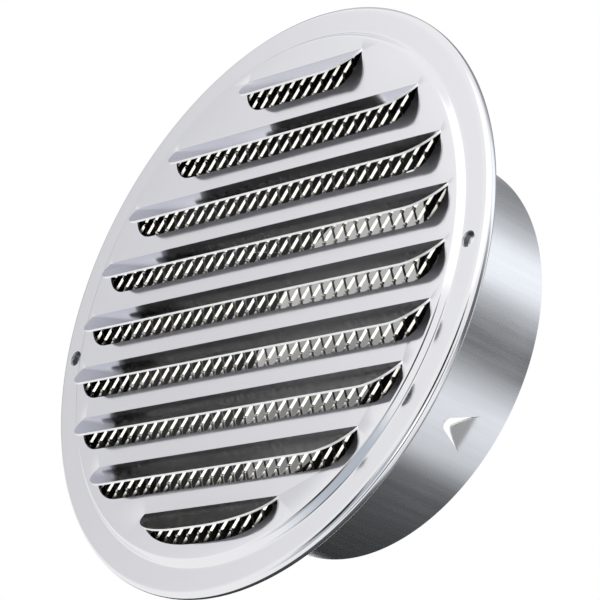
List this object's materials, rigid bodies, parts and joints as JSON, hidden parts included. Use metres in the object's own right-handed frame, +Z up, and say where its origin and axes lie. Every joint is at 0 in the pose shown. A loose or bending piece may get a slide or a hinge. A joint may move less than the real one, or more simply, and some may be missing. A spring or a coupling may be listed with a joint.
{
  "type": "round louvred vent cover",
  "caption": "Round metal vent cover with lanced louvre tongues, an insect screen behind them and a flanged collar with spring tabs for a duct.",
  "frame": {"origin": "on the collar's axis in the wall plane, which is the back of the folded edge of the face", "axes": "+Y along the collar into the duct, so the louvred face looks towards -Y; +Z up across the louvres; +X along the louvres"},
  "size_m": [0.14, 0.0455, 0.14],
  "materials": {
    "polished_sheet": "polished stainless sheet",
    "screen_metal": "bright expanded metal",
    "satin_sheet": "satin stainless sheet"
  },
  "bodies": {
    "root": {"face_plate": "polished_sheet", "mesh_screen": "screen_metal", "collar": "satin_sheet"}
  },
  "joints": []
}
